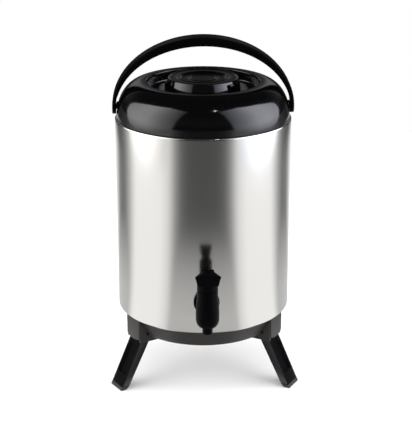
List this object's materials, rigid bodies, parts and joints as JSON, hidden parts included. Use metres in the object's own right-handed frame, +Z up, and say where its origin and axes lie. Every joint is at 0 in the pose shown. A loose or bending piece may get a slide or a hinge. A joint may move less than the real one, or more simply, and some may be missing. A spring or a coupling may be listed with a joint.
{
  "type": "insulated drinks dispenser",
  "caption": "Insulated drinks dispenser: double-walled steel barrel with a black domed shoulder, screw lid, swinging carry bail, lever tap and folding legs.",
  "frame": {"origin": "on the floor, in the middle of the footprint's box; the barrel's axis stands 19.25 mm behind it", "axes": "+Z up along the barrel, -Y towards the tap, +X to the right of someone facing the tap"},
  "size_m": [0.2762, 0.3396, 0.5023],
  "materials": {
    "satin_steel": "fine brushed, satin",
    "bright_steel": "plain mill, bright",
    "gloss_black": "gloss moulded",
    "satin_black": "satin moulded",
    "dark_grey": "satin moulded",
    "clear_silicone": "translucent moulded",
    "black_rubber": "matt moulded",
    "foam": "foamed in place"
  },
  "bodies": {
    "barrel": {"outer_shell": "satin_steel", "bottom_plate": "bright_steel", "inner_liner": "bright_steel", "foam_floor": "foam", "foam_wall": "foam", "foam_crown": "foam", "shoulder_cover": "gloss_black", "neck_ring": "satin_black", "neck_seal": "clear_silicone", "bail_pin_right": "satin_black", "bail_pin_left": "satin_black", "base_ring": "dark_grey", "base_screw_1": "bright_steel", "base_screw_2": "bright_steel", "base_screw_3": "bright_steel", "tap_body": "satin_black", "tap_gasket": "black_rubber", "tap_washer": "clear_silicone", "tap_nut": "satin_black", "tap_bonnet": "satin_black", "tap_lever_pin": "bright_steel", "tap_spring": "bright_steel", "front_left_leg_pin": "satin_black", "front_right_leg_pin": "satin_black", "rear_leg_pin": "satin_black"},
    "bail": {"carry_bail": "satin_black"},
    "lid_seal": {"lid_gasket": "clear_silicone"},
    "lid": {"lid_cap": "gloss_black", "lid_plug": "satin_black", "lid_foam": "foam"},
    "lever": {"tap_lever": "satin_black"},
    "valve": {"tap_stem": "satin_black", "tap_seat_cup": "clear_silicone"},
    "front_left_leg": {"front_left_leg": "satin_black", "front_left_foot": "black_rubber"},
    "front_right_leg": {"front_right_leg": "satin_black", "front_right_foot": "black_rubber"},
    "rear_leg": {"rear_leg": "satin_black", "rear_foot": "black_rubber"}
  },
  "joints": [
    {"name": "bail_swing", "type": "hinge", "parent": "barrel", "child": "bail", "pos_m": [0, 0.01925, 0.4035], "axis": [1, 0, 0], "range_deg": [-40, 40]},
    {"name": "lid_rise", "type": "slide", "parent": "barrel", "child": "lid_seal", "axis": [0, 0, 1], "range_m": [0, 0.0211]},
    {"name": "lid_turn", "type": "hinge", "parent": "lid_seal", "child": "lid", "pos_m": [0, 0.01925, 0.445], "axis": [0, 0, 1], "range_deg": [0, 420]},
    {"name": "lever_press", "type": "hinge", "parent": "barrel", "child": "lever", "pos_m": [0, -0.15425, 0.2085], "axis": [1, 0, 0], "range_deg": [0, 20], "stiffness_Nm_per_rad": 0.1, "springref_deg": -11.46},
    {"name": "valve_lift", "type": "slide", "parent": "barrel", "child": "valve", "axis": [0, 0, 1], "range_m": [0, 0.00275], "deforming": ["tap_spring"]},
    {"name": "front_left_fold", "type": "hinge", "parent": "barrel", "child": "front_left_leg", "pos_m": [-0.0918, -0.03375, 0.082], "axis": [0.5, -0.866, 0], "range_deg": [0, 114]},
    {"name": "front_right_fold", "type": "hinge", "parent": "barrel", "child": "front_right_leg", "pos_m": [0.0918, -0.03375, 0.082], "axis": [0.5, 0.866, 0], "range_deg": [0, 114]},
    {"name": "rear_fold", "type": "hinge", "parent": "barrel", "child": "rear_leg", "pos_m": [0, 0.12525, 0.082], "axis": [-1, 0, 0], "range_deg": [0, 114]}
  ],
  "couplings": [
    {"joint": "lid_rise", "follows": "lid_turn", "m_per_rad": 0.0028648},
    {"joint": "valve_lift", "follows": "lever_press", "m_per_rad": 0.00783}
  ]
}
